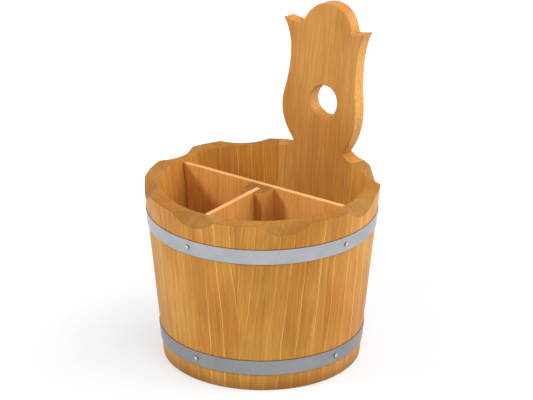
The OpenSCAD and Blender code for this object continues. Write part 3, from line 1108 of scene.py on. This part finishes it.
hole = np.array([(HOLE_R * math.cos(a), hole_v + HOLE_R * math.sin(a))
                 for a in np.linspace(0, 2 * math.pi, HOLE_POINTS, endpoint=False)])
print(f"the handle's tips are {2 * tip:.1f} mm apart, its outline has {len(handle_outline)} points")

# %% [markdown]
# The edges of the handle are rounded more than the joints below it, and the
# rounding dies away at each sharp point, where a file can't reach. So every
# point of the outline gets a radius of its own.

# %% The rounding along the outline
HANDLE_EASE, RIM_EASE, HOLE_EASE = 1.6, 0.9, 1.2
SHARP_EASE, EASE_GROWS = 0.22, 0.3
AT_RIM = 0.1
sharp_points = np.array([
    (s * x, v) for s in (-1, 1) for x, v in (
        (side_half(0), 0),
        (side_half(RIM_V), RIM_V),
        (SHOULDER_HALF, RIM_V),
        (half_width(SHOULDER_RISE), RIM_V + SHOULDER_RISE),
        (tip, RIM_V + PETAL_UP),
        (foot_x, RIM_V + foot_up),
    )
])


def ease_along(outline):
    """A rounding radius for each point of the outline."""
    radii = np.where(outline[:, 1] > RIM_V + AT_RIM, HANDLE_EASE, JOINT_EASE)
    radii = np.where(abs(outline[:, 1] - RIM_V) < AT_RIM, RIM_EASE, radii)
    gaps = np.linalg.norm(outline[:, None] - sharp_points[None], axis=2).min(axis=1)
    return np.minimum(radii, SHARP_EASE + EASE_GROWS * gaps)


radii = [ease_along(handle_outline), np.full(len(hole), HOLE_EASE)]
print(f"the handle's edges are rounded by {radii[0].min():.2f} to {radii[0].max():.2f} mm")

# %% [markdown]
# Bending is the last step. A point's depth tells how far it lies inside the
# cone of the outer face. Below the rim the sides of the stave point to the
# tub's axis. Above it they are sawn square to the board, so the two rules are
# blended just under the rim, and on the shoulders beside the neck.

# %% Bend the outline on to the tub
SHOULDER_BLEND, NECK_BLEND = (37, 44), (RIM_V + 2, RIM_V + 10)
SQUARE_BLEND, LIFT_BLEND = (RIM_V - 10, RIM_V - 0.5), (RIM_V, RIM_V + 8)
ROUNDS = 3


def blend_step(value, low, high):
    """0 up to low, 1 from high and a smooth step between."""
    share = np.clip((value - low) / (high - low), 0, 1)
    return share * share * (3 - 2 * share)


def cut_away(v, side):
    """How far the foot's bevel, the chime and the groove cut into a face at a length along the stave."""
    if side == 0:
        return np.clip(FOOT_BEVEL - v, 0, None)
    groove = np.where((v > FLOOR_LIFT + STEP / 2) & (v < GROOVE_TOP - STEP / 2),
                      GROOVE_R - inner_r(v * math.cos(LEAN)), 0)
    return np.clip(CHIME - v, 0, None) + groove


def on_cone(x, v, depth, side):
    """Points of the flat outline, in their places on the tub's cone."""
    inwards = np.clip(cut_away(v, side) + depth, 0, WALL)
    inwards = inwards if side == 0 else WALL - inwards
    shoulder = blend_step(abs(x), *SHOULDER_BLEND) * (1 - blend_step(v, *NECK_BLEND))
    square = blend_step(v, *SQUARE_BLEND) * (1 - shoulder)
    level = v * math.cos(LEAN)
    lift = blend_step(v, *LIFT_BLEND) * math.sin(LEAN)
    z = level
    for _ in range(ROUNDS):
        radius = outer_r(z) - inwards
        across = x * (1 - (1 - square) * inwards / outer_r(z))
        y = np.sqrt(radius ** 2 - across ** 2)
        depth_square = (BASE_R + v * math.sin(LEAN) - y) / math.cos(LEAN)
        z = level + lift * depth_square
    return np.stack([across, y, z], axis=1)


tip_place = on_cone(np.array([tip]), np.array([RIM_V + PETAL_UP]), np.zeros(1), 0)[0]
print("a petal's tip stands at", [round(float(c), 1) for c in tip_place])

# %% [markdown]
# A flat face needs no points of its own inside, but a bent one does. A grid of
# spare points lets the triangles follow the cone. It keeps clear of the edge,
# where the outline's own points are close enough. At the foot the spare points
# lie in rows, so that the groove is cut straight across.

# %% Make the handle stave
GRID_HALF, GRID_FROM, GRID_ACROSS, GRID_UP = 44.0, 26.0, 4.0, 5.0
CLEAR_OF_EDGE, CLEAR_OF_HOLE, ROW_MARGIN, ROW_POINTS = 4.5, 3.5, 2.0, 23

grid_x = np.arange(-GRID_HALF, GRID_HALF + GRID_ACROSS / 2, GRID_ACROSS)
grid = np.array([(x, v) for x in grid_x for v in np.arange(GRID_FROM, RIM_V + DOME_UP, GRID_UP)])
clear = inside(handle_outline, grid) & ~inside(hole, grid)
clear &= ~near(handle_outline, grid, CLEAR_OF_EDGE) & ~near(hole, grid, CLEAR_OF_HOLE)
row_points = []
for v in low_rows:
    row_half = side_half(v) - ROW_MARGIN
    row_points += [(x, v) for x in np.linspace(-row_half, row_half, ROW_POINTS)]
spare = np.array(list(grid[clear]) + row_points)
place, turn = stave_place(180)
HANDLE_SHADES = srgb(180, 119, 48), srgb(199, 145, 74), srgb(166, 106, 42)
handle_oiled = wood("handle_stave_oiled", place, turn, pith=(-0.085, 0.030), ring=0.0030, seed=8.0,
                    shades=HANDLE_SHADES, line=0.3, wander=0.003,
                    end_tint=SANDED, sawn=0.34, tear_and_shade=0.0)
piece("handle_stave_wood", *plate(handle_outline, [hole], radii, on_cone, spare),
      handle_oiled, "tub", "stave_wood", "handle_stave")

# %% [markdown]
# ## The floor board and the divider
#
# These are plain boards, so the plate helper makes them all. The floor board is
# a disc. The back board narrows downwards with the tub. The post is a batten
# with a groove, seen from above as a thick U, and the front board's edge is let
# into that groove.

# %% Make the floor board
def from_above(x, y, depth, side, low, high):
    """Points of an outline seen from above, for a piece that fills the space between two heights."""
    z = low + depth if side == 0 else high - depth
    return np.stack([x, y, z], axis=1)


DISC_POINTS, FLOOR_EASE = 120, 0.6
disc_r = GROOVE_R - FLOOR_PLAY
disc = np.array([(disc_r * math.cos(a), disc_r * math.sin(a))
                 for a in np.linspace(0, 2 * math.pi, DISC_POINTS, endpoint=False)])
floor_top = FLOOR_LIFT + FLOOR_T
floor_oiled = wood("floor_board_oiled", place=(0, TUB_Y * MM, 0.015), turn=(math.radians(90), 0, 0),
                   pith=(0.01, 0.05), ring=0.0062, seed=9.0, shades=HONEY)
disc_ease = [np.full(len(disc), FLOOR_EASE)]
piece("floor_board_wood", *plate(disc, [], disc_ease, lambda *a: from_above(*a, FLOOR_LIFT, floor_top)),
      floor_oiled, "tub", "floor_wood", "floor_board")

# %% [markdown]
# The divider is loose, so it needs a little play all round. Its two boards are of
# a paler wood than the staves. The batten between them is darker, most of all on
# its cut end.

# %% Make the divider's back board
TOP = RIM_H - 5.0
BOARD_T, BACK_Y, POST_W, POST_D = 5.0, 7.4, 24.0, 19.5
LET_IN, LET_PLAY, DIVIDER_PLAY, BOARD_EASE = 11.0, 0.1, 0.4, 0.6
back_front = BACK_Y - BOARD_T
post_front = back_front - POST_D
PALE = srgb(204, 138, 66), srgb(218, 158, 86), srgb(238, 196, 134)
BATTEN = srgb(178, 114, 48), srgb(196, 136, 66), srgb(218, 166, 98)


def eased(corners):
    """A board's outline, and the rounding radius of each of its corners."""
    return np.array(corners, float), [np.full(len(corners), BOARD_EASE)]


def back_half(z):
    """Half the back board's width at a height, where it just clears the wall."""
    return math.sqrt((inner_r(z) - DIVIDER_PLAY) ** 2 - BACK_Y ** 2)


def from_front(x, z, depth, side):
    """Points of an outline seen from the front, for the back board."""
    return np.stack([x, back_front + depth if side == 0 else BACK_Y - depth, z], axis=1)


outline, radii = eased([(-back_half(floor_top), floor_top), (back_half(floor_top), floor_top),
                        (back_half(TOP), TOP), (-back_half(TOP), TOP)])
back_wood = wood("back_board_oiled", place=(0, 0, 0.09), turn=(0, 0, 0), pith=(0.01, 0.09),
                 ring=0.0052, seed=10.0, shades=PALE, line=0.35, end_tint=FRESH)
piece("back_board_wood", *plate(outline, [], radii, from_front), back_wood,
      "divider", "divider_wood", "back_board")

# %% [markdown]
# The front board runs from the post to the front wall, where the tub's lean
# makes its edge slant. Its other edge is let into the post's groove.

# %% Make the divider's front board
def from_side(y, z, depth, side):
    """Points of an outline seen from the side, for the front board."""
    x = depth - BOARD_T / 2 if side == 0 else BOARD_T / 2 - depth
    return np.stack([x, y, z], axis=1)


reach_low, reach_high = inner_r(floor_top) - DIVIDER_PLAY, inner_r(TOP) - DIVIDER_PLAY
outline, radii = eased([(-reach_low, floor_top), (post_front + LET_IN, floor_top),
                        (post_front + LET_IN, TOP), (-reach_high, TOP)])
front_wood = wood("front_board_oiled", place=(0, -0.05, 0.09), turn=(0, 0, math.radians(90)),
                  pith=(0.02, 0.08), ring=0.0048, seed=11.0, shades=PALE, line=0.35, end_tint=FRESH)
piece("front_board_wood", *plate(outline, [], radii, from_side), front_wood,
      "divider", "divider_wood", "front_board")

# %% [markdown]
# The post's groove is a little wider than the board, so that the board slides
# in. The outline goes into the groove and out again, so no hole has to be cut.

# %% Make the divider's post
slit = BOARD_T / 2 + LET_PLAY
outline, radii = eased([
    (-POST_W / 2, post_front), (-slit, post_front),
    (-slit, post_front + LET_IN), (slit, post_front + LET_IN),
    (slit, post_front), (POST_W / 2, post_front),
    (POST_W / 2, back_front), (-POST_W / 2, back_front),
])
post_wood = wood("post_oiled", place=(0, -0.02, 0.09), turn=(0, 0, 0), pith=(0.03, -0.03),
                 ring=0.0036, seed=12.0, shades=BATTEN, end_tint=WORN)
piece("post_wood", *plate(outline, [], radii, lambda *a: from_above(*a, floor_top, TOP)), post_wood,
      "divider", "divider_wood", "post")

# %% [markdown]
# ## The hoops
#
# A hoop is a strip bent once round the tub and a little further, so that its
# end laps over its start, where two rivets close it. The strip is lofted along
# its own length. Near the lap it climbs by its own thickness, and its cut ends
# have snipped corners.

# %% Make the hoops
HOOP_T, LAP, LAP_ANGLE, SNIP = 0.9, 26.0, math.radians(207), 2.5
END_STEPS = [0.0, 0.15, 0.5, 1.0, 1.6, 2.5]
PLAIN_FROM, PLAIN_STEPS, CLIMB = 4.0, 200, 12.0
END_THINNED, THIN_OVER, STRIP_EASE = 0.25, 0.5, 0.3


def hoop(name, low, material):
    """A strip bent round the tub from low upwards, its ends lapped."""
    radius = outer_r(low + HOOP_W / 2)
    whole = 2 * math.pi * radius + LAP
    begin = LAP_ANGLE - LAP / 2 / radius
    plain = list(np.linspace(PLAIN_FROM, whole - PLAIN_FROM, PLAIN_STEPS))
    places = END_STEPS + plain + [whole - step for step in END_STEPS[::-1]]
    loops = []
    for along in places:
        to_end = min(along, whole - along)
        short = SNIP - math.sqrt(max(0.0, SNIP ** 2 - (SNIP - min(to_end, SNIP)) ** 2))
        thin = END_THINNED * (1 - min(1.0, to_end / THIN_OVER))
        climb = HOOP_T * float(blend_step(along, whole - LAP - CLIMB, whole - LAP))
        bottom, top = low + short, low + HOOP_W - short
        inner, outer = climb + thin, climb + HOOP_T - thin
        corners = [(bottom, inner), (bottom, outer), (top, outer), (top, inner)]
        section = rounded([(outer_r(z) + off, z, STRIP_EASE) for z, off in corners], steps=2)
        loops.append(round_tub(section, begin + along / radius))
    return piece(name + "_hoop_steel", *loft(loops), material, "tub", "hoop_steel", name + "_hoop")


for name, low in HOOPS.items():
    hoop(name, low, hoop_steels[name])

# %% [markdown]
# ## Nails and rivets
#
# Small domed heads hold the hoops. Each is turned from one profile round its
# own axis, with a rounded skirt that meets the strip. The four nails of a hoop
# are one piece here, as they are one part in the CAD model.

# %% Make the nails and rivets
HEAD_R, HEAD_H, SHANK_R, NAIL_L, RIVET_PITCH = 2.3, 1.4, 0.9, 10.0, 13.0
NAIL_ANGLES = [math.radians(a) for a in (-3, 81, 177, 261)]
HEAD_STEPS, HEAD_FLAT, PIN_SIDES = 7, 0.12, 24
POINT_R, POINT_L = 0.2, 0.5


def pin(angle, z, out, length):
    """A domed head and its shank, square to the tub's face, as a list of loops."""
    profile = [(POINT_R, -length), (SHANK_R, POINT_L - length), (SHANK_R, 0.0)]
    for a in np.linspace(0, math.pi / 2 - HEAD_FLAT, HEAD_STEPS):
        profile.append((HEAD_R * math.cos(a), HEAD_H * math.sin(a)))
    level_out = np.array((math.sin(angle), -math.cos(angle), 0.0))
    axis = level_out * math.cos(LEAN) - np.array((0, 0, math.sin(LEAN)))
    side = np.array((math.cos(angle), math.sin(angle), 0.0))
    up = np.cross(side, axis)
    start = level_out * outer_r(z) + np.array((0, 0, z)) + axis * out
    turns = np.linspace(0, 2 * math.pi, PIN_SIDES, endpoint=False)
    return [[start + axis * h + r * (side * math.cos(t) + up * math.sin(t)) for t in turns]
            for r, h in profile]


def pins(name, angles, low, out, length, slot_node):
    """Pins at some angles round the tub, in the middle of the hoop that starts at low, as one piece."""
    points, faces = [], []
    for angle in angles:
        some, some_faces = loft(pin(angle, low + HOOP_W / 2, out, length))
        faces += [tuple(v + len(points) for v in face) for face in some_faces]
        points += some
    return piece(name, points, faces, nail_steel, "tub", "nail_steel", slot_node)


for name, low in HOOPS.items():
    pins(name + "_nail_heads", NAIL_ANGLES, low, HOOP_T, NAIL_L, name + "_hoop_nails")
    apart = RIVET_PITCH / 2 / outer_r(low)
    pins(name + "_rivet_heads", (LAP_ANGLE - apart, LAP_ANGLE + apart), low, 2 * HOOP_T, 2 * HOOP_T,
         name + "_lap_rivets")
